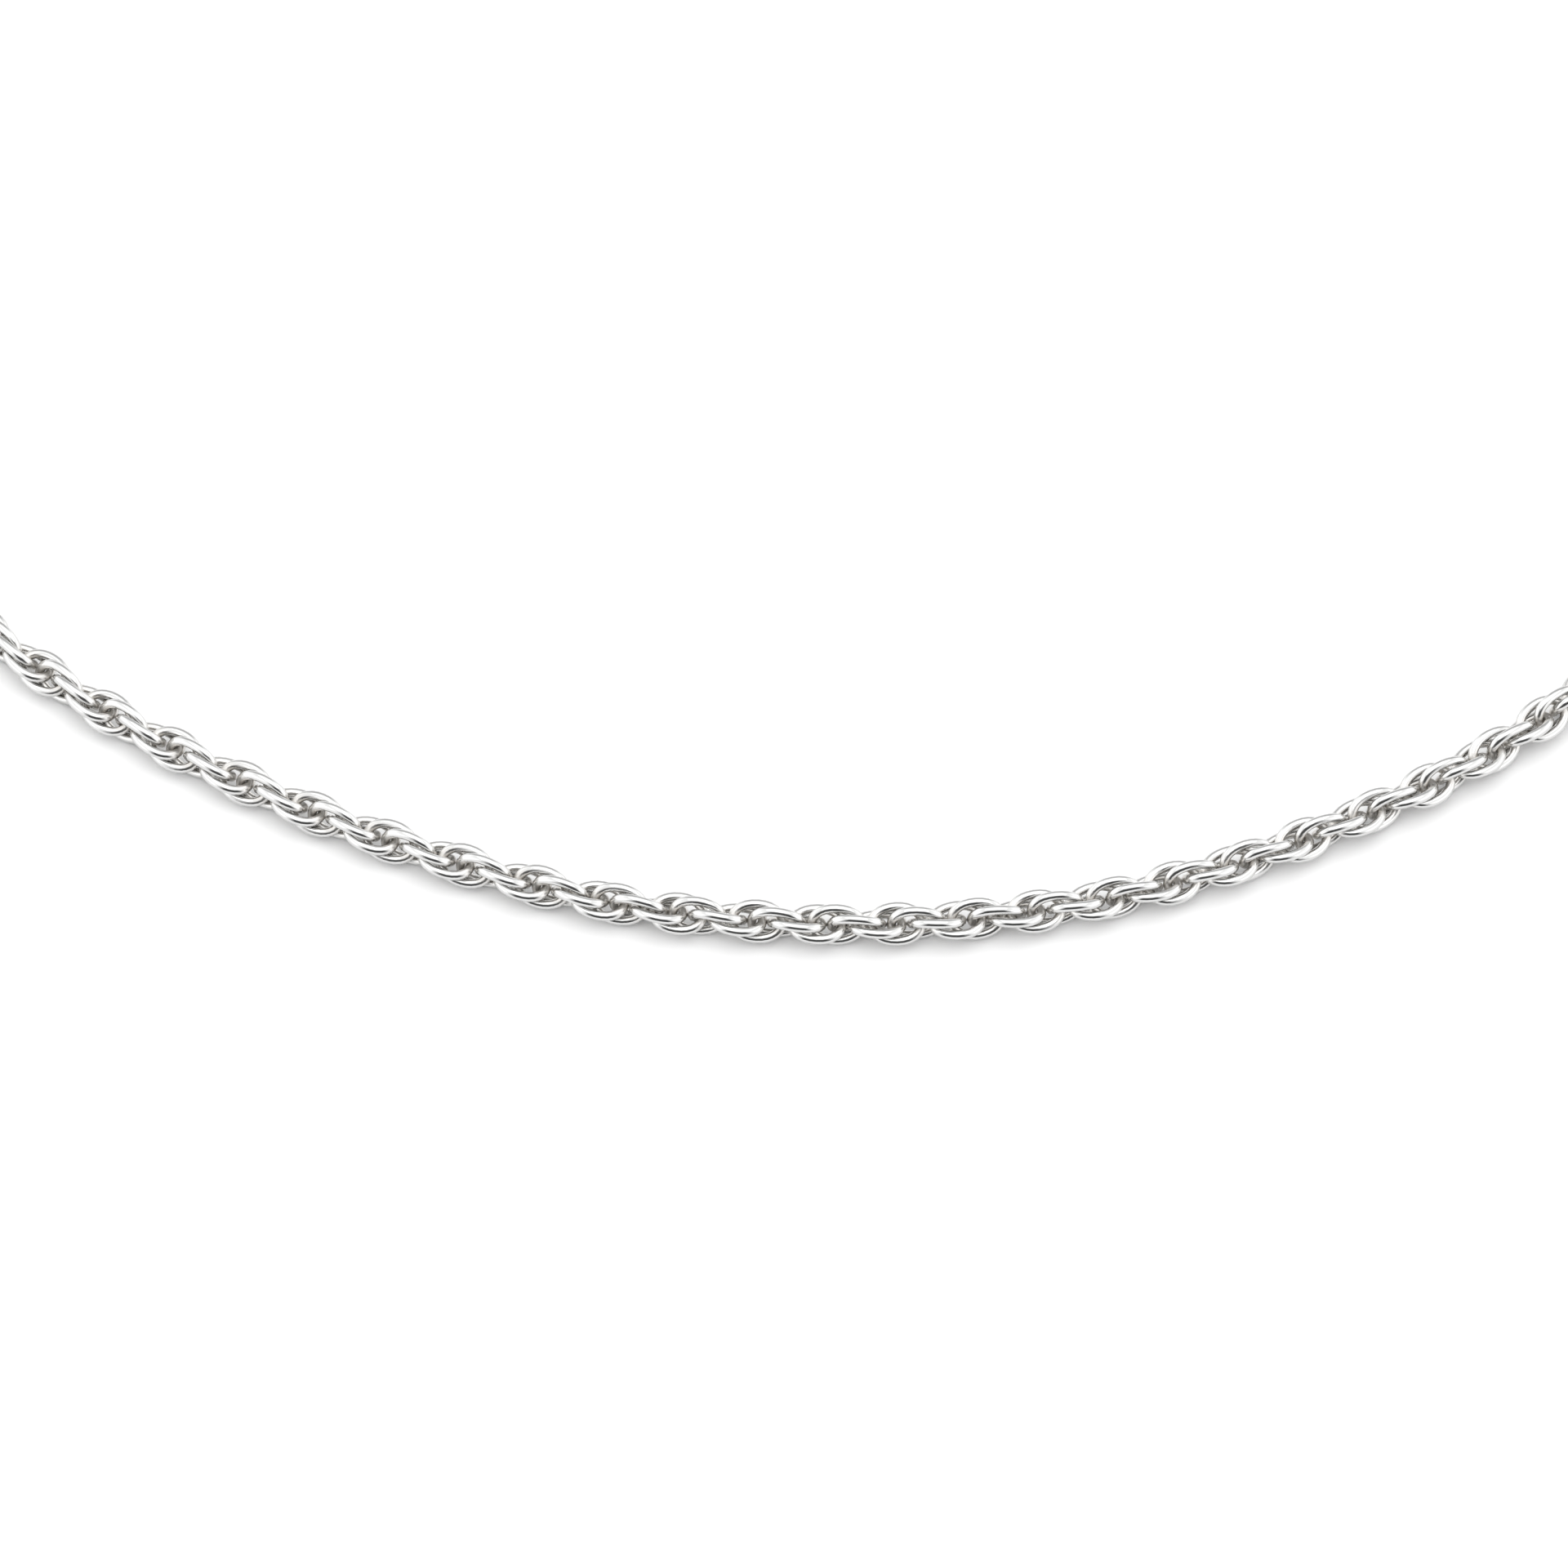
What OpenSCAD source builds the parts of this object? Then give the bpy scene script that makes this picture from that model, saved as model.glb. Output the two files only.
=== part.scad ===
// Silver chain necklace of twisted oval links, fastened and laid flat in a loose oval loop.
// Millimetres, +Z up. The loop lies on the plane z = 0, and the origin is on that plane,
// under the middle of the whole necklace. -Y is the front of the loop, +Y the clasp at the back.

/* [Chain] */
// Length once round the closed necklace, clasp included
loop_length = 450; // [380:10:600]
// Outside diameter of the twisted chain
chain_d = 2.65; // [2.4:0.05:3.2]
// Outside length of one chain link
link_length = 3.6; // [3.4:0.1:4.0]
// Diameter of the wire of a chain link
link_wire = 0.58; // [0.4:0.02:0.6]

/* [Laid loop] */
// Short width of the laid loop as a share of its long width
loop_ratio = 0.888; // [0.8:0.01:1]
// Angle of the loop's long width, anticlockwise from +X
loop_lean = -41; // [-60:1:-20]

/* [Clasp] */
// Outside diameter of the clasp's round body
clasp_d = 7.0; // [6.4:0.2:8]
// Diameter of the clasp's tube
clasp_tube = 1.2; // [1:0.1:1.3]
// Outside diameter of the clasp's fixed eye
eye_d = 2.8; // [2.7:0.1:3]
// Diameter of the eye's wire
eye_wire = 0.6; // [0.5:0.05:0.65]

/* [Rings] */
// Outside diameter of the two rings that join the chain to the clasp
ring_d = 3.6; // [3.5:0.1:3.8]
// Diameter of their wire
ring_wire = 0.5; // [0.4:0.05:0.5]
// How far the rings stand up from lying flat
ring_lean = 50; // [45:5:55]

/* [Hidden] */
$fn = 48;

// Free play between pieces that hang in each other
play = 0.3;
// Space between a ring and the start of the chain's closed body
body_gap = 0.2;
// Overlap of the eye and the clasp's body where they are soldered
solder = 0.3;
// Thumb nub of the clasp: diameter, height above the tube, place round the body
nub_d = 0.9;
nub_rise = 0.7;
nub_turn = -150;

// The loop is an ellipse. Its long half-width follows from the length by Ramanujan's first terms.
flatness = pow((1 - loop_ratio) / (1 + loop_ratio), 2);
long_half = loop_length / (PI * (1 + loop_ratio) * (1 + flatness / 4));
short_half = long_half * loop_ratio;

// Height of the chain's own axis above the surface that it lies on
axis_z = chain_d / 2;
// Height of a leaning ring's middle when its lowest point just touches the surface
ring_z = (ring_d - ring_wire) / 2 * sin(ring_lean) + ring_wire / 2;

// The clasp sits at the loop's rearmost point, where the loop runs along X
clasp_turn = atan2(short_half * cos(loop_lean), long_half * sin(loop_lean));
rear_y = norm([long_half * sin(loop_lean), short_half * cos(loop_lean)]);
// The clasp is wider than the chain, so the loop moves forward to keep the origin in the middle
loop_y = -(clasp_d - chain_d) / 4;

// Stations are distances along the loop from the clasp's middle, anticlockwise from above
clasp_bar = (clasp_d - clasp_tube) / 2;
ring_hole_r = ring_d / 2 - ring_wire;
end_ring_at = clasp_bar - clasp_tube / 2 - play + ring_hole_r;
eye_at = -(clasp_d / 2 + eye_d / 2 - solder);
jump_ring_at = eye_at - eye_d / 2 + eye_wire + play - ring_hole_r;
// From a ring's middle to the middle of the chain link that hangs in it
ring_to_link = ring_hole_r - link_wire - play + link_length / 2;
first_link_at = end_ring_at + ring_to_link;
last_link_at = loop_length + jump_ring_at - ring_to_link;
ring_to_body = ring_d / 2 + body_gap;
body_from = end_ring_at + ring_to_body;
body_to = loop_length + jump_ring_at - ring_to_body;

// Rings and sides of the swept body
body_rings = 80;
body_sides = 10;
// Fine steps once round, for measuring along the loop
steps = 720;

// Point of the loop at an ellipse angle
function loop_point(turn) =
    let (u = long_half * cos(turn), v = short_half * sin(turn))
    [u * cos(loop_lean) - v * sin(loop_lean), u * sin(loop_lean) + v * cos(loop_lean) + loop_y, axis_z];

// Direction of travel at an ellipse angle, as an angle from +X
function loop_heading(turn) =
    loop_lean + atan2(short_half * cos(turn), -long_half * sin(turn));

// Rows of [distance from the clasp, ellipse angle], added up in small steps once round
loop_rows = [
    for (
        i = 0, at = 0;
        i <= steps;
        at = at + norm(loop_point(clasp_turn + (i + 1) * 360 / steps) - loop_point(clasp_turn + i * 360 / steps)),
        i = i + 1
    ) [at, clasp_turn + i * 360 / steps]
];
loop_total = loop_rows[steps][0];

// Ellipse angle at a distance along the loop; a negative distance is measured back from the clasp
function turn_at(at) = lookup(at < 0 ? at + loop_total : at, loop_rows);

// Places children at a distance along the loop, their X axis along it, leaning over sideways
module on_loop(at, lean = 0, height = axis_z) {
    turn = turn_at(at);
    point = loop_point(turn);
    translate([point[0], point[1], height])
        rotate([0, 0, loop_heading(turn)])
            rotate([lean, 0, 0])
                children();
}

// Round wire ring lying in the XY plane
module wire_ring(outside_d, wire_d) {
    rotate_extrude()
        translate([(outside_d - wire_d) / 2, 0])
            circle(d = wire_d);
}

// Long link with round ends, lying in the XY plane, its length along X
module oval_link(length, width, wire_d) {
    end_r = (width - wire_d) / 2;
    straight = length - width;
    for (side = [-1, 1]) {
        translate([side * straight / 2, 0, 0])
            rotate([0, 0, -side * 90])
                rotate_extrude(angle = 180)
                    translate([end_r, 0])
                        circle(d = wire_d);
        translate([-straight / 2, side * end_r, 0])
            rotate([0, 90, 0])
                cylinder(d = wire_d, h = straight);
    }
}

// Round body swept along the loop between two stations
module swept_body(from, to) {
    points = [
        for (i = [0 : body_rings - 1])
            let (
                turn = turn_at(from + (to - from) * i / (body_rings - 1)),
                middle = loop_point(turn),
                heading = loop_heading(turn)
            )
            for (j = [0 : body_sides - 1])
                let (
                    angle = j * 360 / body_sides,
                    out = axis_z / cos(180 / body_sides) * cos(angle),
                    up = axis_z / cos(180 / body_sides) * sin(angle)
                )
                middle + [out * sin(heading), -out * cos(heading), up]
    ];
    walls = [
        for (i = [0 : body_rings - 2], j = [0 : body_sides - 1])
            let (k = (j + 1) % body_sides)
            [i * body_sides + j, i * body_sides + k, (i + 1) * body_sides + k, (i + 1) * body_sides + j]
    ];
    last = (body_rings - 1) * body_sides;
    start_cap = [for (j = [body_sides - 1 : -1 : 0]) j];
    end_cap = [for (j = [0 : body_sides - 1]) last + j];
    polyhedron(points = points, faces = concat(walls, [start_cap, end_cap]), convexity = 8);
}

// The chain as its full outer form, with the end link open at each end
module chain() {
    color("silver") {
        swept_body(body_from, body_to);
        on_loop(first_link_at, ring_lean - 90) oval_link(link_length, chain_d, link_wire);
        on_loop(last_link_at, ring_lean - 90) oval_link(link_length, chain_d, link_wire);
    }
}

// Soldered ring that the clasp hooks into
module end_ring() {
    color("gainsboro") on_loop(end_ring_at, ring_lean, ring_z) wire_ring(ring_d, ring_wire);
}

// Ring that holds the clasp's eye to the chain
module jump_ring() {
    color("gainsboro") on_loop(jump_ring_at, ring_lean, ring_z) wire_ring(ring_d, ring_wire);
}

// Round clasp in one piece, held up by the rings: body, fixed eye and thumb nub
module clasp() {
    color("lightgray") on_loop(0, height = ring_z) {
        wire_ring(clasp_d, clasp_tube);
        translate([eye_at, 0, 0]) wire_ring(eye_d, eye_wire);
        rotate([0, 0, nub_turn])
            translate([clasp_bar, 0, 0])
                rotate([0, 90, 0])
                    cylinder(d = nub_d, h = clasp_tube / 2 + nub_rise);
    }
}

chain();
end_ring();
jump_ring();
clasp();
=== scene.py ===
"""Silver chain necklace of twisted oval links, laid flat in a loose loop on a pale table.

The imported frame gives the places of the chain, the two rings and the clasp. This add-on puts the
real wire links in the place of the chain's plain round form, finishes the fittings, and sets the
table, the light and the camera. Lengths are in metres, +Z up, and the loop lies on z = 0.
"""

import math

import bpy
import numpy as np
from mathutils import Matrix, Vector


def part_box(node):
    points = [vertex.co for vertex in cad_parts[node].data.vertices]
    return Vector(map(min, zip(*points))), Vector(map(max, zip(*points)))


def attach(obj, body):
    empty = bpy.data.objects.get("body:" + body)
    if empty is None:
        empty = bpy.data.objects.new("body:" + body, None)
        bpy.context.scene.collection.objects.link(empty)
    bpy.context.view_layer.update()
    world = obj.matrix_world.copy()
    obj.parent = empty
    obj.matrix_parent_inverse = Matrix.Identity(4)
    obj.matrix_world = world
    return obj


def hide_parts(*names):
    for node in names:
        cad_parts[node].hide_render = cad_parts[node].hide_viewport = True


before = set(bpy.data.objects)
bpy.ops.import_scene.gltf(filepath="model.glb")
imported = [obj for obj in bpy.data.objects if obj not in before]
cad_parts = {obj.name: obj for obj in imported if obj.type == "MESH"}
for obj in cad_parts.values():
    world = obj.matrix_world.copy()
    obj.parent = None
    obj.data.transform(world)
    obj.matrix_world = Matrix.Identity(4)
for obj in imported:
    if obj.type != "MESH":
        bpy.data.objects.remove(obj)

bl_info = {
    "name": "Twisted link necklace",
    "version": (1, 0, 0),
    "blender": (4, 5, 0),
    "location": "3D View > Sidebar > Necklace",
    "description": "Makes a silver necklace of twisted oval links on a pale table",
    "category": "Add Mesh",
}

MM = 0.001
CHAIN_LOW, CHAIN_HIGH = (np.array(corner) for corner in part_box("chain"))

# Greys of the room by height, from 0 at the horizon to 1 overhead: on the side of the camera,
# beside the necklace and on the far side
FRONT = ((0.0, 0.1), (0.1, 0.06), (0.7, 0.06), (0.9, 0.8), (1.0, 0.85))
SIDES = ((0.0, 0.85), (0.1, 1.08), (0.5, 1.08), (0.8, 0.85), (1.0, 0.8))
BACK = ((0.0, 0.4), (0.5, 0.4), (0.85, 0.85), (1.0, 0.85))
# Degrees away from the camera's side over which the one goes into the other
FRONT_TO_SIDES = (22, 54)
SIDES_TO_BACK = (132, 162)

# Distances from the clasp between which the picture shows the chain
SHOWN_FROM, SHOWN_TO = 168 * MM, 271 * MM
# How the chain lies at each of its small bends: the distance from the clasp in millimetres,
# millimetres to the left of the plain ellipse, degrees of extra twist, and millimetres that the
# links lie further along
LIE = (
    (150, 0.0, 0, 0.0),
    (168, -0.15, 0, -0.2),
    (178, 0.0, -5, -0.15),
    (188, 0.2, 2, 0.1),
    (201, 0.15, -1, 0.2),
    (211, -0.2, -15, 0.15),
    (226, -0.2, -18, -0.1),
    (240, -0.05, -14, -0.2),
    (250, 0.2, -5, -0.2),
    (257, 0.25, -15, -0.1),
    (264, -0.05, -19, -0.1),
    (272, -0.3, -20, 0.0),
    (285, 0.0, -18, 0.0),
    (400, 0.0, 0, 0.0),
)
LEFT, TWIST, AHEAD = 1, 2, 3
# Half of the length over which the table's values are averaged
BLUR = 4 * MM
# Length over which the tighter twist sets in
EASE = 4 * MM

# Points along a link's wire loop and round its wire, before the smoothing
AROUND, SIDES_OF_WIRE = 14, 6
# A link is deep inside the chain up to the first share of the chain's radius, and not at all deep
# past the second; the deep metal gets a darker, browner painted shade and more roughness
DEEP, SHALLOW = 0.15, 0.75
# Seed and spread, in degrees, of the small difference in how each link lies
SEED, SPREAD = 7, 1.0
# Quarters of the loop, from the clasp round to the clasp, each one mesh of links
QUARTERS = ("left_rear", "left_front", "right_front", "right_rear")

# How fine the clouds in the polish and its scratches are, as the noise's scale
CLOUDS, SCRATCHES = 900.0, 5200.0
# Noise at which the polish is best and at which it is least
CALM, ROUGH = 0.3, 0.7
# Height of the scratches, and the share of it that shows
SCRATCH_HEIGHT, SCRATCH_SHARE = 0.02 * MM, 0.08
# Roughness of the matt table
MATT = 0.9

# Sockets of a colour mix: its share, its two colours and its result
SHARE, FIRST, SECOND, MIXED = 0, 6, 7, 2


class ChainSizes(bpy.types.PropertyGroup):
    """Sizes of the loop and of its links."""

    loop_length: bpy.props.FloatProperty(
        name="Loop length",
        description="Length once round the closed necklace, clasp included",
        default=450 * MM, min=300 * MM, max=700 * MM, unit="LENGTH",
    )
    loop_ratio: bpy.props.FloatProperty(
        name="Loop ratio",
        description="Short width of the laid loop as a share of its long width",
        default=0.888, min=0.5, max=1.0, subtype="FACTOR",
    )
    loop_lean: bpy.props.FloatProperty(
        name="Loop lean",
        description="Direction of the loop's long width, anticlockwise from +X",
        default=math.radians(-41), subtype="ANGLE",
    )
    thickness: bpy.props.FloatProperty(
        name="Thickness",
        description="Outside diameter of the twisted chain",
        default=float(CHAIN_HIGH[2] - CHAIN_LOW[2]), min=1 * MM, max=6 * MM, unit="LENGTH",
    )
    wire: bpy.props.FloatProperty(
        name="Wire",
        description="Diameter of the wire of a chain link",
        default=0.58 * MM, min=0.2 * MM, max=1 * MM, unit="LENGTH",
    )
    link_length: bpy.props.FloatProperty(
        name="Link length",
        description="Outside length of a link, long enough to reach through its two neighbours",
        default=3.6 * MM, min=2 * MM, max=6 * MM, unit="LENGTH",
    )
    pitch: bpy.props.FloatProperty(
        name="Pitch",
        description="Distance from one link's middle to the next",
        default=1.2 * MM, min=0.8 * MM, max=2 * MM, unit="LENGTH",
    )
    fullness: bpy.props.FloatProperty(
        name="Fullness",
        description="Shape of a link: 2 is an ellipse, and more makes the ends fuller",
        default=2.12, min=2.0, max=4.0,
    )
    link_twist: bpy.props.FloatProperty(
        name="Link twist",
        description="How far a link is twisted from its one end to its other",
        default=math.radians(16), subtype="ANGLE",
    )
    turn: bpy.props.FloatProperty(
        name="Turn",
        description="Turn from one link to the next where the chain lies slack",
        default=math.radians(44.9), subtype="ANGLE",
    )
    tight_turn: bpy.props.FloatProperty(
        name="Tight turn",
        description="Turn from one link to the next where the chain is twisted tighter",
        default=math.radians(51.1), subtype="ANGLE",
    )
    tight_from: bpy.props.FloatProperty(
        name="Tight from",
        description="Distance from the clasp at which the tighter twist begins",
        default=205.8 * MM, unit="LENGTH",
    )
    flat_link_at: bpy.props.FloatProperty(
        name="Flat link at",
        description="Distance from the clasp to a link that shows its whole oval in the picture",
        default=191.45 * MM, unit="LENGTH",
    )
    flat_link_angle: bpy.props.FloatProperty(
        name="Flat link angle",
        description="How far that link's plane is tipped up from the table",
        default=math.radians(26.3), subtype="ANGLE",
    )


class FittingSizes(bpy.types.PropertyGroup):
    """Sizes of the clasp and of the two rings beside it."""

    clasp_width: bpy.props.FloatProperty(
        name="Clasp width", description="Outside diameter of the clasp's round body",
        default=7 * MM, unit="LENGTH",
    )
    clasp_tube: bpy.props.FloatProperty(
        name="Clasp tube", description="Diameter of the clasp's tube",
        default=1.2 * MM, unit="LENGTH",
    )
    eye_width: bpy.props.FloatProperty(
        name="Eye width", description="Outside diameter of the clasp's fixed eye",
        default=2.8 * MM, unit="LENGTH",
    )
    eye_wire: bpy.props.FloatProperty(
        name="Eye wire", description="Diameter of the eye's wire",
        default=0.6 * MM, unit="LENGTH",
    )
    ring_width: bpy.props.FloatProperty(
        name="Ring width", description="Outside diameter of the rings that join chain and clasp",
        default=3.6 * MM, unit="LENGTH",
    )
    ring_wire: bpy.props.FloatProperty(
        name="Ring wire", description="Diameter of the rings' wire",
        default=0.5 * MM, unit="LENGTH",
    )
    ring_stand: bpy.props.FloatProperty(
        name="Ring stand", description="How far the rings stand up from lying flat",
        default=math.radians(50), subtype="ANGLE",
    )
    play: bpy.props.FloatProperty(
        name="Play", description="Free play between pieces that hang in each other",
        default=0.3 * MM, unit="LENGTH",
    )
    link_play: bpy.props.FloatProperty(
        name="Link play", description="Free play of the first and last link in their rings",
        default=0.1 * MM, unit="LENGTH",
    )
    solder: bpy.props.FloatProperty(
        name="Solder", description="Overlap of the eye and the clasp's body",
        default=0.3 * MM, unit="LENGTH",
    )


class SilverFinish(bpy.types.PropertyGroup):
    """Colours and polish of the silver."""

    silver: bpy.props.FloatVectorProperty(
        name="Silver", description="Colour of clean polished silver",
        default=(0.635, 0.635, 0.63), size=3, subtype="COLOR",
    )
    # Painted shade: the darker, browner colour given to the silver deep between the links
    deep_shade: bpy.props.FloatVectorProperty(
        name="Painted_shade", description="Colour of the silver deep between the links",
        default=(0.61, 0.585, 0.55), size=3, subtype="COLOR",
    )
    smoothest: bpy.props.FloatProperty(
        name="Smoothest", description="Roughness of the best polished spots",
        default=0.054, min=0.0, max=1.0, subtype="FACTOR",
    )
    roughest: bpy.props.FloatProperty(
        name="Roughest", description="Roughness of the least polished spots",
        default=0.135, min=0.0, max=1.0, subtype="FACTOR",
    )
    deep_roughness: bpy.props.FloatProperty(
        name="Deep roughness", description="Roughness added deep between the links",
        default=0.35, min=0.0, max=1.0, subtype="FACTOR",
    )


class StageLook(bpy.types.PropertyGroup):
    """The table, the light and the camera."""

    table: bpy.props.FloatVectorProperty(
        name="Table", description="Colour of the table",
        default=(0.93, 0.93, 0.93), size=3, subtype="COLOR",
    )
    table_width: bpy.props.FloatProperty(
        name="Table width", description="Width of the table", default=6.0, unit="LENGTH",
    )
    lamp_power: bpy.props.FloatProperty(
        name="Lamp power", description="Power of the soft lamp overhead, in watts",
        default=3.0, min=0.0, unit="POWER",
    )
    lamp_width: bpy.props.FloatProperty(
        name="Lamp width", description="Width of the soft lamp", default=1.2, unit="LENGTH",
    )
    lamp_height: bpy.props.FloatProperty(
        name="Lamp height", description="Height of the lamp above the table",
        default=1.1, unit="LENGTH",
    )
    room: bpy.props.FloatProperty(
        name="Room", description="Brightness of the room round the table",
        default=1.6, min=0.0,
    )
    lens: bpy.props.FloatProperty(
        name="Lens", description="Focal length of the camera, in millimetres",
        default=200.0, unit="CAMERA",
    )
    elevation: bpy.props.FloatProperty(
        name="Elevation", description="Angle of the camera above the table",
        default=math.radians(60), subtype="ANGLE",
    )
    distance: bpy.props.FloatProperty(
        name="Distance", description="Distance from the camera to the chain",
        default=522.7 * MM, unit="LENGTH",
    )
    aim: bpy.props.FloatVectorProperty(
        name="Aim", description="Point of the chain's height that the camera looks at",
        default=(4.135 * MM, -62.68 * MM, 1.25 * MM), size=3, subtype="TRANSLATION",
    )


def sizes():
    """The scene's sizes of the loop and of its links."""
    return bpy.context.scene.chain_sizes


def fittings():
    """The scene's sizes of the clasp and of the rings."""
    return bpy.context.scene.fitting_sizes


def loop_points(turn):
    """Points of the loop's ellipse at an array of ellipse angles.

    The long half-width follows from the length by Ramanujan's first terms, and the ellipse is
    turned by its lean and moved forward by a quarter of what the clasp is wider than the chain.
    """
    chain, fitting = sizes(), fittings()
    flatness = ((1 - chain.loop_ratio) / (1 + chain.loop_ratio)) ** 2
    long_half = chain.loop_length / (math.pi * (1 + chain.loop_ratio) * (1 + flatness / 4))
    along = long_half * np.cos(turn)
    across = long_half * chain.loop_ratio * np.sin(turn)
    x = along * math.cos(chain.loop_lean) - across * math.sin(chain.loop_lean)
    y = along * math.sin(chain.loop_lean) + across * math.cos(chain.loop_lean)
    y = y - (fitting.clasp_width - chain.thickness) / 4
    return np.stack([x, y, np.full_like(x, chain.thickness / 2)], axis=-1)


def lie(column, stations):
    """One column of the table of how the chain lies, at distances from the clasp.

    The values run straight from row to row and are averaged over a few millimetres, so that no
    row shows as a kink.
    """
    rows = np.array(LIE)
    places = 9
    near = np.linspace(-BLUR, BLUR, places)
    return np.interp(stations[..., None] + near, rows[:, 0] * MM, rows[:, column]).mean(axis=-1)


def across_to_left(travel):
    """Directions to the left of some directions of travel, flat on the table."""
    left = np.stack([-travel[..., 1], travel[..., 0], np.zeros(travel.shape[:-1])], axis=-1)
    return left / np.linalg.norm(left, axis=-1, keepdims=True)


def laid_points(stations):
    """Points of the chain as it lies, at distances from the clasp.

    The ellipse is walked in fine equal steps of its angle from its rearmost point, the lengths of
    the steps are added up, and each distance is looked up in that sum. The point then moves to the
    left by what the chain strays from the ellipse there.
    """
    chain = sizes()
    start = math.atan2(chain.loop_ratio * math.cos(chain.loop_lean), math.sin(chain.loop_lean))
    steps = 7200
    turns = start + np.linspace(0, 2 * math.pi, steps + 1)
    points = loop_points(turns)
    travelled = np.concatenate([[0], np.cumsum(np.linalg.norm(np.diff(points, axis=0), axis=1))])
    turn = np.interp(np.mod(stations, travelled[-1]), travelled, turns)
    small_turn = 0.0001
    travel = loop_points(turn + small_turn) - loop_points(turn - small_turn)
    return loop_points(turn) + lie(LEFT, stations)[..., None] * MM * across_to_left(travel)


def loop_frames(stations):
    """Middles, directions of travel and leftward directions at distances from the clasp."""
    step = 0.1 * MM
    travel = laid_points(stations + step) - laid_points(stations - step)
    travel /= np.linalg.norm(travel, axis=-1, keepdims=True)
    return laid_points(stations), travel, across_to_left(travel)


def ring_stations():
    """Distances from the clasp's middle to the end ring and, below 0, to the jump ring.

    The end ring hangs on the clasp's tube and the jump ring in its eye, both pulled out until
    only the play is left.
    """
    fitting = fittings()
    bar = (fitting.clasp_width - fitting.clasp_tube) / 2
    hole = fitting.ring_width / 2 - fitting.ring_wire
    eye = -(fitting.clasp_width / 2 + fitting.eye_width / 2 - fitting.solder)
    to_end_ring = bar - fitting.clasp_tube / 2 - fitting.play + hole
    to_jump_ring = eye - fitting.eye_width / 2 + fitting.eye_wire + fitting.play - hole
    return to_end_ring, to_jump_ring


def link_stations():
    """Distance from the clasp to each link's middle.

    The links stand evenly from one ring to the flat link and from there to the other ring, and
    the table then moves them along a little.
    """
    chain, fitting = sizes(), fittings()
    end_ring, jump_ring = ring_stations()
    hole = fitting.ring_width / 2 - fitting.ring_wire
    reach = hole - chain.wire - fitting.link_play + chain.link_length / 2
    first = end_ring + reach
    last = chain.loop_length + jump_ring - reach
    before = round((chain.flat_link_at - first) / chain.pitch)
    after = round((last - chain.flat_link_at) / chain.pitch)
    numbers = np.arange(before + after + 1)
    even = np.interp(numbers, [0, before, before + after], [first, chain.flat_link_at, last])
    return even + lie(AHEAD, even) * MM


def link_angles(stations):
    """Angle of each link's plane, turned about the chain from the table's plane.

    The angle grows by the slack turn for each link up to tight_from and by the tight turn after
    it, eased from one to the other. The stretches that the picture doesn't show take up what is
    left over, so that both end links stand square to their rings. The table adds its twist.
    """
    chain, fitting = sizes(), fittings()
    slack = chain.turn / chain.pitch
    tight = chain.tight_turn / chain.pitch
    past = stations - chain.tight_from
    eased = EASE * np.logaddexp(0, past / EASE)
    angles = chain.flat_link_angle + slack * (stations - chain.flat_link_at) + (tight - slack) * eased
    square = fitting.ring_stand - math.pi / 2
    for end, near in ((0, SHOWN_FROM), (-1, SHOWN_TO)):
        miss = np.mod(angles[end] - square + math.pi / 2, math.pi) - math.pi / 2
        share = np.clip((stations - near) / (stations[end] - near), 0, 1)
        angles = angles - miss * share
    return angles + np.radians(lie(TWIST, stations))


def through_points(points, axis):
    """Cage of a closed smooth curve that passes through the points, along one axis of the array.

    A smoothed cage settles at a sixth of each neighbour and four sixths of the point itself. That
    mixing is undone by dividing the points' Fourier terms by its own.
    """
    count = points.shape[axis]
    terms = (4 + 2 * np.cos(2 * math.pi * np.arange(count) / count)) / 6
    shape = [1] * points.ndim
    shape[axis] = count
    return np.real(np.fft.ifft(np.fft.fft(points, axis=axis) / terms.reshape(shape), axis=axis))


def wire_loop_cage(half_length, half_width, wire, fullness, twist):
    """Cage of one closed wire loop in its own axes: x along it, y across it, z out of its plane.

    The wire's middle is a superellipse: the cosine and sine of the angle keep their sign and are
    raised to 2 over the fullness. Its cross-section is a circle in the plane of the outward
    normal and z. Last, each point turns about x by the twist's share at its place along x.
    """
    angle = 2 * math.pi * np.arange(AROUND) / AROUND
    power = 2 / fullness
    x = half_length * np.sign(np.cos(angle)) * np.abs(np.cos(angle)) ** power
    y = half_width * np.sign(np.sin(angle)) * np.abs(np.sin(angle)) ** power
    tangent = np.stack([np.roll(x, -1) - np.roll(x, 1), np.roll(y, -1) - np.roll(y, 1)], axis=-1)
    tangent /= np.linalg.norm(tangent, axis=-1, keepdims=True)
    out = np.stack([tangent[:, 1], -tangent[:, 0]], axis=-1)
    side = 2 * math.pi * np.arange(SIDES_OF_WIRE) / SIDES_OF_WIRE
    flat = wire / 2 * np.cos(side)
    along = x[:, None] + out[:, :1] * flat
    across = y[:, None] + out[:, 1:] * flat
    high = np.broadcast_to(wire / 2 * np.sin(side), along.shape)
    turn = twist * along / (2 * half_length + wire)
    points = np.stack([
        along, across * np.cos(turn) - high * np.sin(turn), across * np.sin(turn) + high * np.cos(turn),
    ], axis=-1)
    return through_points(through_points(points, 0), 1)


def grid_faces(loops):
    """Corners of the quads of several wire loops, each a grid that is joined up both ways."""
    i, j = np.meshgrid(np.arange(AROUND), np.arange(SIDES_OF_WIRE), indexing="ij")
    here = i * SIDES_OF_WIRE + j
    ahead = (i + 1) % AROUND * SIDES_OF_WIRE + j
    up = (j + 1) % SIDES_OF_WIRE - j
    quads = np.stack([here, ahead, ahead + up, here + up], axis=-1).reshape(-1, 4)
    starts = np.arange(loops)[:, None, None] * AROUND * SIDES_OF_WIRE
    return (starts + quads).reshape(-1, 4)


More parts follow.
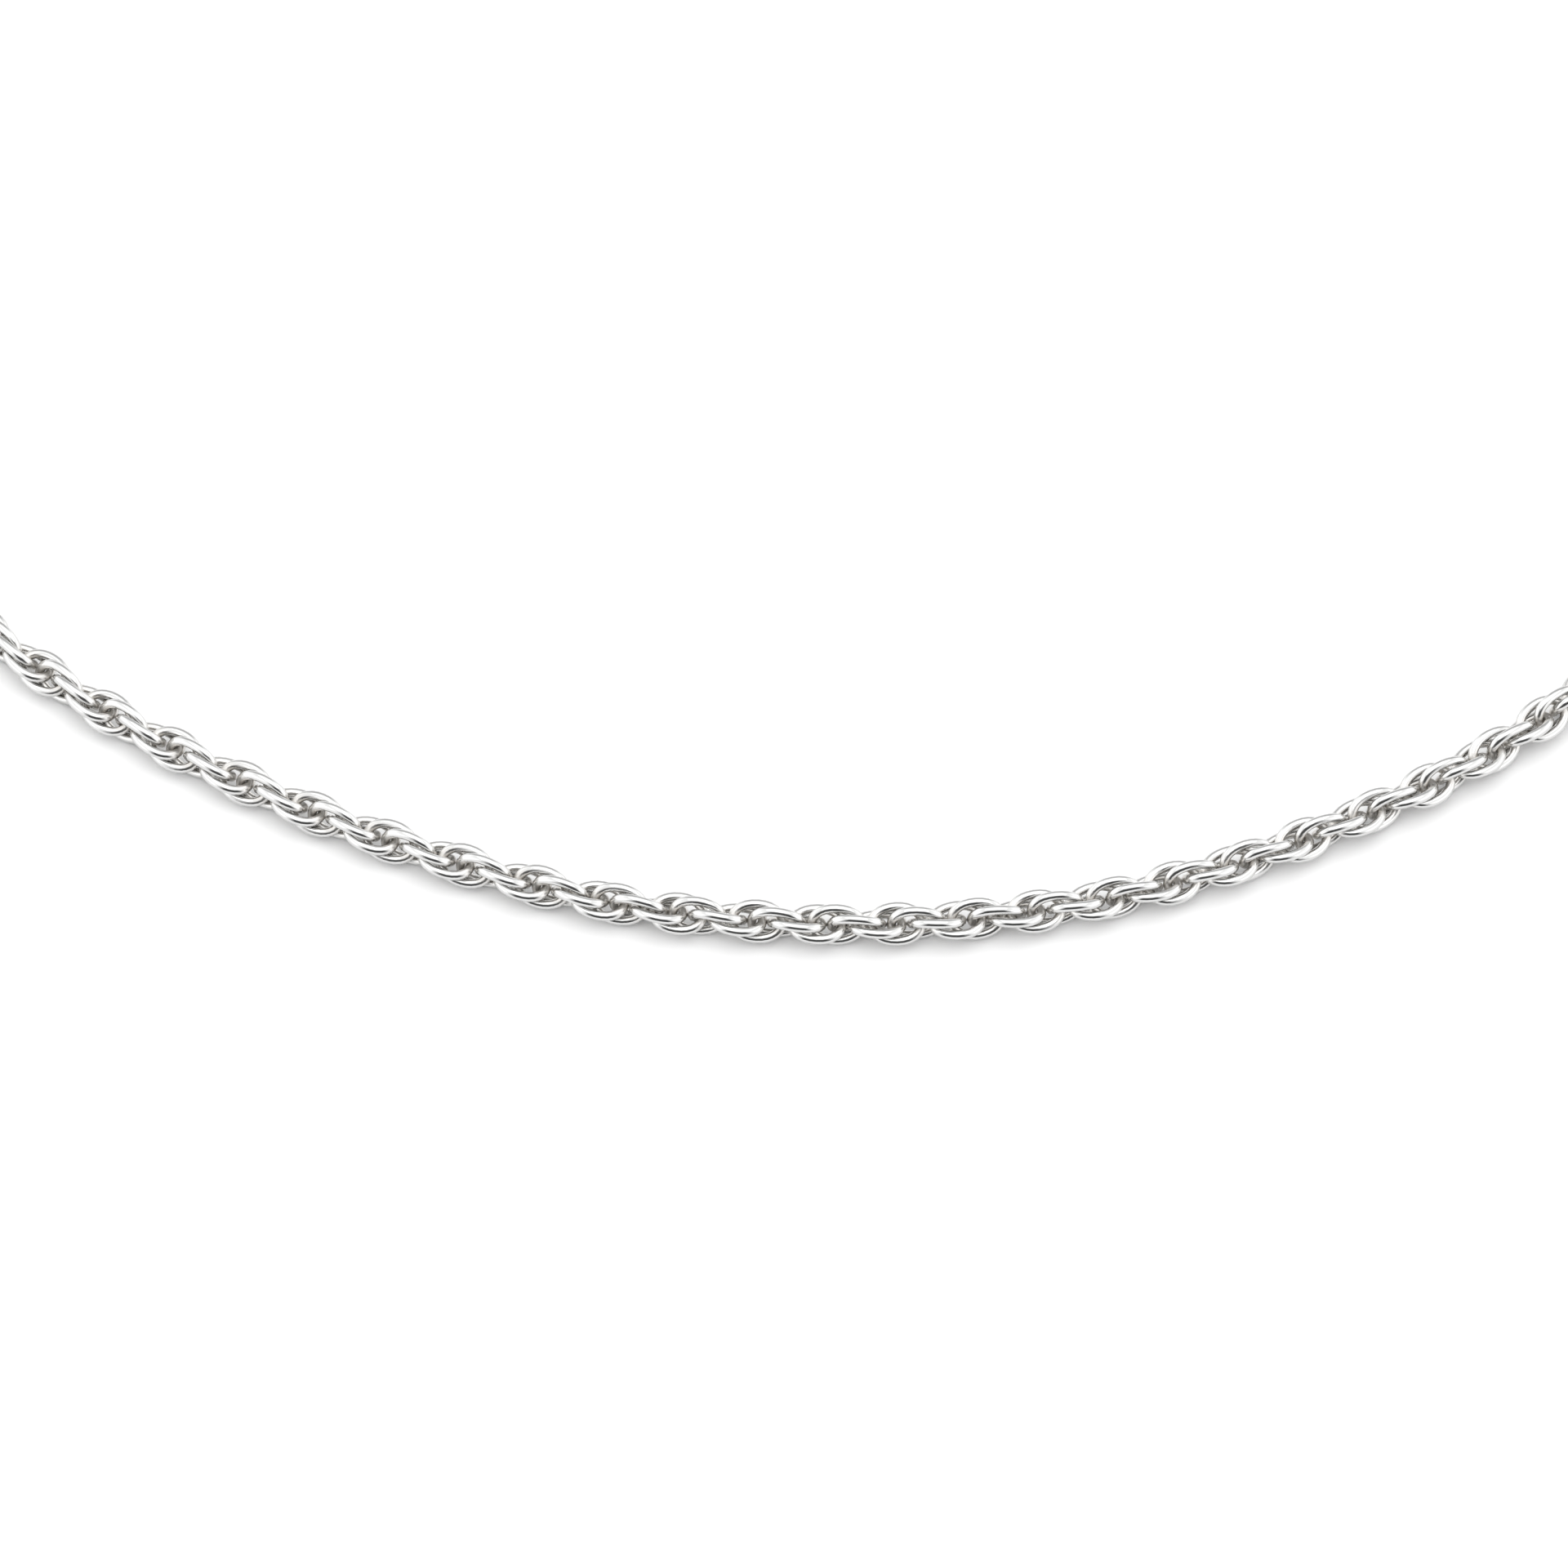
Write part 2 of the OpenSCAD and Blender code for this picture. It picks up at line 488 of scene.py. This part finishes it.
def grid_uvs(loops):
    """UV of each quad corner: once along the wire loop, once round the wire."""
    i, j = np.meshgrid(np.arange(AROUND), np.arange(SIDES_OF_WIRE), indexing="ij")
    corners = [(i, j), (i + 1, j), (i + 1, j + 1), (i, j + 1)]
    uv = np.stack([np.stack([a / AROUND, b / SIDES_OF_WIRE], axis=-1) for a, b in corners], axis=2)
    return np.tile(uv.reshape(-1, 2), (loops, 1))


def mesh_piece(name, points, faces, uvs, material):
    """A smooth mesh object at the origin from arrays of points, quads and their UVs."""
    mesh = bpy.data.meshes.new(name)
    mesh.vertices.add(len(points))
    mesh.vertices.foreach_set("co", points.astype(np.float32).ravel())
    mesh.loops.add(faces.size)
    mesh.loops.foreach_set("vertex_index", faces.astype(np.int32).ravel())
    mesh.polygons.add(len(faces))
    starts = np.arange(0, faces.size, faces.shape[1], dtype=np.int32)
    mesh.polygons.foreach_set("loop_start", starts)
    mesh.update(calc_edges=True)
    mesh.polygons.foreach_set("use_smooth", np.ones(len(faces), dtype=bool))
    layer = mesh.uv_layers.new(name="wire")
    layer.uv.foreach_set("vector", uvs.astype(np.float32).ravel())
    mesh.materials.append(material)
    mesh.validate()
    piece = bpy.data.objects.new(name, mesh)
    bpy.context.collection.objects.link(piece)
    return piece


def add_smoothing(piece):
    """One level of subdivision, the same in the view and in the render."""
    smooth = piece.modifiers.new("Smoothing", "SUBSURF")
    smooth.levels = 1
    smooth.render_levels = 1


def node(tree, kind, **inputs):
    """A new shader node with some of its sockets set, or linked where the value is a socket."""
    made = tree.nodes.new(kind)
    for name, value in inputs.items():
        socket = made.inputs[name.replace("_", " ")]
        if isinstance(value, bpy.types.NodeSocket):
            tree.links.new(value, socket)
        else:
            socket.default_value = value
    return made


def grey_ramp(tree, name, value, steps):
    """A smooth run of greys looked up by a value: pairs of the value and its grey."""
    ramp = tree.nodes.new("ShaderNodeValToRGB")
    ramp.name = name
    ramp.color_ramp.interpolation = "EASE"
    elements = ramp.color_ramp.elements
    elements.remove(elements[1])
    for number, (place, grey) in enumerate(steps):
        element = elements[0] if number == 0 else elements.new(place)
        element.position = place
        element.color = (grey, grey, grey, 1)
    tree.links.new(value, ramp.inputs["Fac"])
    return ramp.outputs["Color"]


def turn_mix(tree, name, turned, degrees, near, far):
    """One colour up to the first angle, another from the second on, and a smooth mix between."""
    share = node(
        tree, "ShaderNodeMapRange", Value=turned,
        From_Min=math.radians(degrees[0]), From_Max=math.radians(degrees[1]),
    )
    share.name = name
    share.interpolation_type = "SMOOTHSTEP"
    mix = tree.nodes.new("ShaderNodeMix")
    mix.data_type = "RGBA"
    tree.links.new(share.outputs["Result"], mix.inputs[SHARE])
    tree.links.new(near, mix.inputs[FIRST])
    tree.links.new(far, mix.inputs[SECOND])
    return mix.outputs[MIXED]


def silver_material(name, deep):
    """Polished silver. Where deep is set, the metal between the links is duller, with a darker, browner
    painted shade.
    """
    look = bpy.context.scene.silver_finish
    material = bpy.data.materials.new(name)
    material.use_nodes = True
    tree = material.node_tree
    tree.nodes.clear()
    place = tree.nodes.new("ShaderNodeTexCoord")
    where = place.outputs["Object"]
    clouds = node(tree, "ShaderNodeTexNoise", Vector=where, Scale=CLOUDS, Detail=3.0)
    shine = node(
        tree, "ShaderNodeMapRange", Value=clouds.outputs["Fac"],
        From_Min=CALM, From_Max=ROUGH, To_Min=look.smoothest, To_Max=look.roughest,
    )
    scratches = node(tree, "ShaderNodeTexNoise", Vector=where, Scale=SCRATCHES, Detail=2.0)
    bump = node(
        tree, "ShaderNodeBump", Height=scratches.outputs["Fac"],
        Strength=SCRATCH_SHARE, Distance=SCRATCH_HEIGHT,
    )
    shader = node(
        tree, "ShaderNodeBsdfPrincipled", Metallic=1.0,
        Roughness=shine.outputs["Result"], Normal=bump.outputs["Normal"],
    )
    shader.inputs["Base Color"].default_value = (*look.silver, 1)
    if deep:
        # Painted shade: the base colour goes from the silver to a darker, browner grey by depth between
        # the links
        depth = tree.nodes.new("ShaderNodeAttribute")
        depth.attribute_name = "depth"
        painted_shade_mix = tree.nodes.new("ShaderNodeMix")
        painted_shade_mix.data_type = "RGBA"
        tree.links.new(depth.outputs["Fac"], painted_shade_mix.inputs[SHARE])
        painted_shade_mix.inputs[FIRST].default_value = (*look.silver, 1)
        painted_shade_mix.inputs[SECOND].default_value = (*look.deep_shade, 1)
        tree.links.new(painted_shade_mix.outputs[MIXED], shader.inputs["Base Color"])
        dull = tree.nodes.new("ShaderNodeMath")
        dull.operation = "MULTIPLY_ADD"
        dull.inputs[1].default_value = look.deep_roughness
        tree.links.new(depth.outputs["Fac"], dull.inputs[0])
        tree.links.new(shine.outputs["Result"], dull.inputs[2])
        tree.links.new(dull.outputs[0], shader.inputs["Roughness"])
    out = tree.nodes.new("ShaderNodeOutputMaterial")
    tree.links.new(shader.outputs["BSDF"], out.inputs["Surface"])
    return material


class NECKLACE_OT_links(bpy.types.Operator):
    """Make the wire links that stand in the place of the chain's round form"""

    bl_idname = "necklace.links"
    bl_label = "Chain links"

    def execute(self, context):
        chain = sizes()
        stations = link_stations()
        angles = link_angles(stations)
        rng = np.random.default_rng(SEED)
        angles = angles + np.radians(rng.normal(0, SPREAD, len(angles)))
        middles, travel, left = loop_frames(stations)
        up = np.array([0.0, 0.0, 1.0])
        across = np.cos(angles)[:, None] * left + np.sin(angles)[:, None] * up
        normal = np.cross(travel, across)
        half_length = (chain.link_length - chain.wire) / 2
        half_width = (chain.thickness - chain.wire) / 2
        cage = wire_loop_cage(half_length, half_width, chain.wire, chain.fullness, chain.link_twist)
        axes = np.stack([travel, across, normal], axis=1)
        points = middles[:, None, None] + np.einsum("abi,nij->nabj", cage, axes)
        # How deep each point lies between the links, which sets the painted shade and the added
        # roughness
        out = np.linalg.norm(cage[..., 1:], axis=-1) / (chain.thickness / 2)
        depth = np.clip((SHALLOW - out) / (SHALLOW - DEEP), 0, 1)
        material = silver_material("chain_silver", deep=True)
        quarter = np.arange(len(stations)) * len(QUARTERS) // len(stations)
        for part, side in enumerate(QUARTERS):
            mine = points[quarter == part]
            piece = mesh_piece(
                "chain_links_" + side, mine.reshape(-1, 3), grid_faces(len(mine)),
                grid_uvs(len(mine)), material,
            )
            attribute = piece.data.attributes.new("depth", "FLOAT", "POINT")
            attribute.data.foreach_set("value", np.tile(depth.ravel(), len(mine)).astype(np.float32))
            add_smoothing(piece)
            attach(piece, "root")
            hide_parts("chain")
        return {"FINISHED"}


class NECKLACE_OT_fittings(bpy.types.Operator):
    """Polish the clasp and the two rings"""

    bl_idname = "necklace.fittings"
    bl_label = "Clasp and rings"

    def execute(self, context):
        material = silver_material("fitting_silver", deep=False)
        for name in ("clasp", "end_ring", "jump_ring"):
            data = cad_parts[name].data
            data.materials.clear()
            data.materials.append(material)
        return {"FINISHED"}


class NECKLACE_OT_stage(bpy.types.Operator):
    """Set the pale table, the soft lamp overhead, the room and the camera"""

    bl_idname = "necklace.stage"
    bl_label = "Table, light and camera"

    def execute(self, context):
        look = context.scene.stage_look
        self.table(look)
        self.lamp(look)
        self.room(look)
        self.camera(look)
        context.scene.view_settings.view_transform = "Standard"
        return {"FINISHED"}

    def table(self, look):
        half = look.table_width / 2
        corners = [(-half, -half, 0), (half, -half, 0), (half, half, 0), (-half, half, 0)]
        mesh = bpy.data.meshes.new("table")
        mesh.from_pydata(corners, [], [(0, 1, 2, 3)])
        material = bpy.data.materials.new("pale_table")
        material.use_nodes = True
        shader = material.node_tree.nodes["Principled BSDF"]
        shader.inputs["Base Color"].default_value = (*look.table, 1)
        shader.inputs["Roughness"].default_value = MATT
        shader.inputs["Specular IOR Level"].default_value = 0.0
        mesh.materials.append(material)
        table = bpy.data.objects.new("table", mesh)
        bpy.context.collection.objects.link(table)

    def lamp(self, look):
        data = bpy.data.lights.new("soft_lamp", "AREA")
        data.shape = "SQUARE"
        data.size = look.lamp_width
        data.energy = look.lamp_power
        lamp = bpy.data.objects.new("soft_lamp", data)
        lamp.location = (0, 0, look.lamp_height)
        bpy.context.collection.objects.link(lamp)

    def room(self, look):
        world = bpy.data.worlds.new("room")
        bpy.context.scene.world = world
        world.use_nodes = True
        tree = world.node_tree
        tree.nodes.clear()
        direction = tree.nodes.new("ShaderNodeTexCoord")
        split = node(tree, "ShaderNodeSeparateXYZ", Vector=direction.outputs["Generated"])
        front = grey_ramp(tree, "front", split.outputs["Z"], FRONT)
        sides = grey_ramp(tree, "sides", split.outputs["Z"], SIDES)
        back = grey_ramp(tree, "back", split.outputs["Z"], BACK)
        ahead = tree.nodes.new("ShaderNodeMath")
        ahead.operation = "MULTIPLY"
        ahead.inputs[1].default_value = -1.0
        tree.links.new(split.outputs["Y"], ahead.inputs[0])
        turned = tree.nodes.new("ShaderNodeMath")
        turned.operation = "ARCTAN2"
        tree.links.new(split.outputs["X"], turned.inputs[0])
        tree.links.new(ahead.outputs[0], turned.inputs[1])
        aside = tree.nodes.new("ShaderNodeMath")
        aside.operation = "ABSOLUTE"
        tree.links.new(turned.outputs[0], aside.inputs[0])
        light = turn_mix(tree, "to_sides", aside.outputs[0], FRONT_TO_SIDES, front, sides)
        light = turn_mix(tree, "to_back", aside.outputs[0], SIDES_TO_BACK, light, back)
        background = node(tree, "ShaderNodeBackground", Color=light, Strength=look.room)
        background.name = "background"
        out = tree.nodes.new("ShaderNodeOutputWorld")
        tree.links.new(background.outputs["Background"], out.inputs["Surface"])

    def camera(self, look):
        back = Vector((0, -math.cos(look.elevation), math.sin(look.elevation)))
        data = bpy.data.cameras.new("camera")
        data.lens = look.lens
        data.sensor_width = 36
        data.clip_start = 0.01
        data.clip_end = 20
        camera = bpy.data.objects.new("camera", data)
        camera.location = Vector(look.aim) + back * look.distance
        camera.rotation_euler = (math.pi / 2 - look.elevation, 0, 0)
        bpy.context.collection.objects.link(camera)
        bpy.context.scene.camera = camera


class NECKLACE_PT_panel(bpy.types.Panel):
    """Lists the necklace's steps in the sidebar"""

    bl_label = "Necklace"
    bl_space_type = "VIEW_3D"
    bl_region_type = "UI"
    bl_category = "Necklace"

    def draw(self, context):
        for operator in OPERATORS:
            self.layout.operator(operator.bl_idname)
        for group in (sizes(), fittings(), context.scene.silver_finish, context.scene.stage_look):
            column = self.layout.column()
            for name in group.__annotations__:
                column.prop(group, name)


GROUPS = {
    "chain_sizes": ChainSizes,
    "fitting_sizes": FittingSizes,
    "silver_finish": SilverFinish,
    "stage_look": StageLook,
}
OPERATORS = (NECKLACE_OT_links, NECKLACE_OT_fittings, NECKLACE_OT_stage)


def register():
    """Adds the settings and the classes to Blender."""
    for name, group in GROUPS.items():
        bpy.utils.register_class(group)
        setattr(bpy.types.Scene, name, bpy.props.PointerProperty(type=group))
    for cls in (*OPERATORS, NECKLACE_PT_panel):
        bpy.utils.register_class(cls)


def unregister():
    """Takes the classes and the settings away again."""
    for cls in (NECKLACE_PT_panel, *reversed(OPERATORS)):
        bpy.utils.unregister_class(cls)
    for name, group in reversed(GROUPS.items()):
        delattr(bpy.types.Scene, name)
        bpy.utils.unregister_class(group)


def main():
    """Makes the whole necklace."""
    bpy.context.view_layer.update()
    register()
    bpy.ops.necklace.links()
    bpy.ops.necklace.fittings()
    bpy.ops.necklace.stage()


if __name__ == "__main__":
    main()
